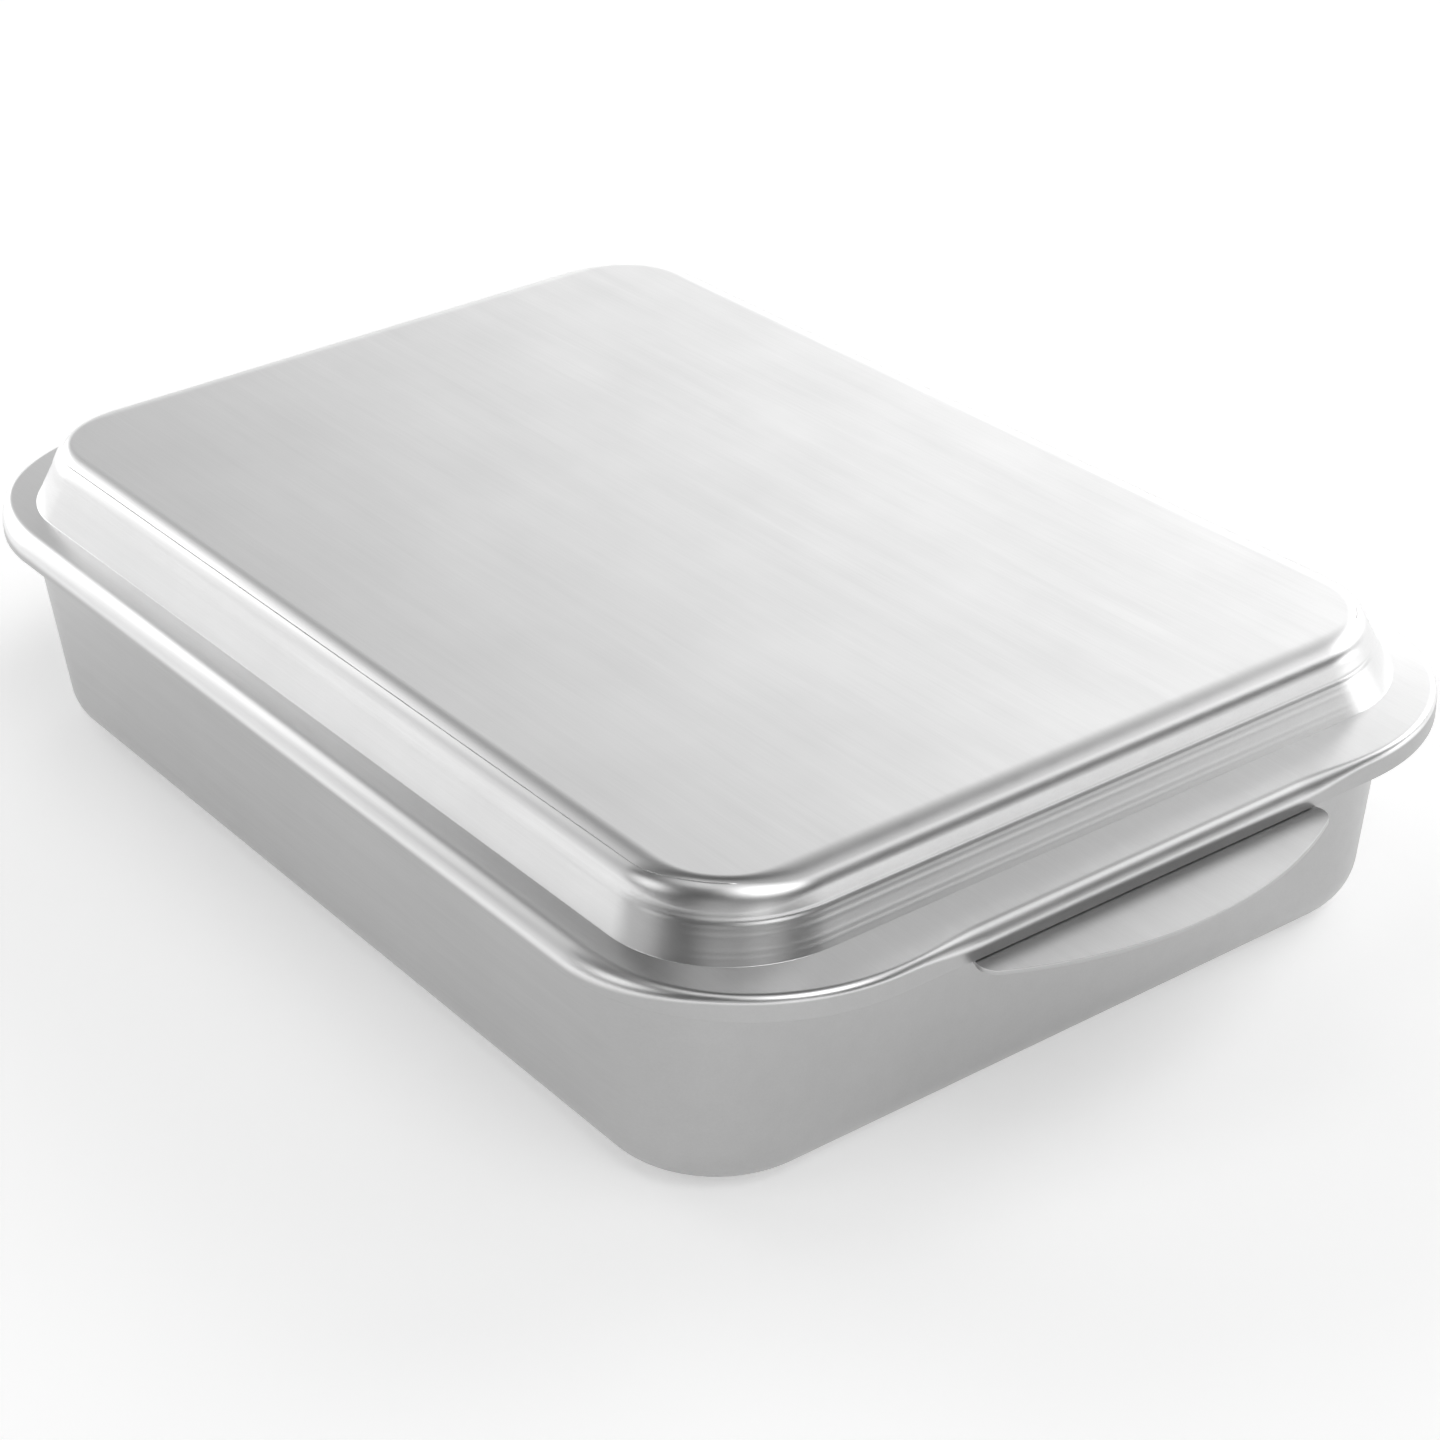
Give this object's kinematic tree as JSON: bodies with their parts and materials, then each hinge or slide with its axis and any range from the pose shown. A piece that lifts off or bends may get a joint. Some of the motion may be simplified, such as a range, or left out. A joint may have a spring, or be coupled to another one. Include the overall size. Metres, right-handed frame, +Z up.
{
  "type": "cake pan with lid",
  "caption": "Rectangular sheet-metal cake pan with a flat handle at each end and a domed lid that presses down over its rim.",
  "frame": {"origin": "centre of the whole part's footprint, on the underside of the pan's base", "axes": "+X along the pan towards one handle, +Y across it, +Z up through the lid"},
  "size_m": [0.4084, 0.2514, 0.083],
  "materials": {
    "pan_aluminium": "satin rolled sheet",
    "lid_aluminium": "satin rolled sheet"
  },
  "bodies": {
    "pan": {"pan": "pan_aluminium"},
    "lid": {"lid": "lid_aluminium"}
  },
  "joints": [
    {"name": "lid_lift", "type": "slide", "parent": "pan", "child": "lid", "axis": [0, 0, 1], "range_m": [0, 0.06]}
  ]
}
